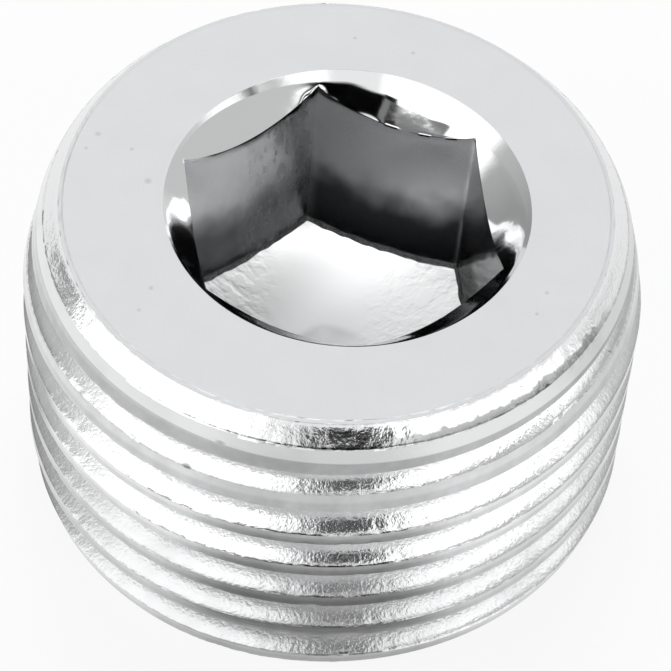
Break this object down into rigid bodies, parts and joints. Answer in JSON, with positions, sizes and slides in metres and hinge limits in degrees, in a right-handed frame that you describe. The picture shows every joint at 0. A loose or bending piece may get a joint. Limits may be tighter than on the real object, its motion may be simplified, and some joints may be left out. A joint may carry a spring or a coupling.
{
  "type": "threaded pipe plug",
  "caption": "Short plated steel pipe plug with a tapered outside thread, a bevelled flat top and a countersunk hexagon socket.",
  "frame": {"origin": "centre of the small end's flat face, on the thread's axis; the plug stands on that face", "axes": "+Z along the thread's axis from the small end to the socket's mouth; -Y is the side that faces the picture's camera"},
  "size_m": [0.017, 0.0169, 0.0098],
  "materials": {
    "plated_steel": "bright plating over cut steel, smooth on the face and slightly rough on the thread's flanks"
  },
  "bodies": {
    "root": {"plug": "plated_steel"}
  },
  "joints": []
}
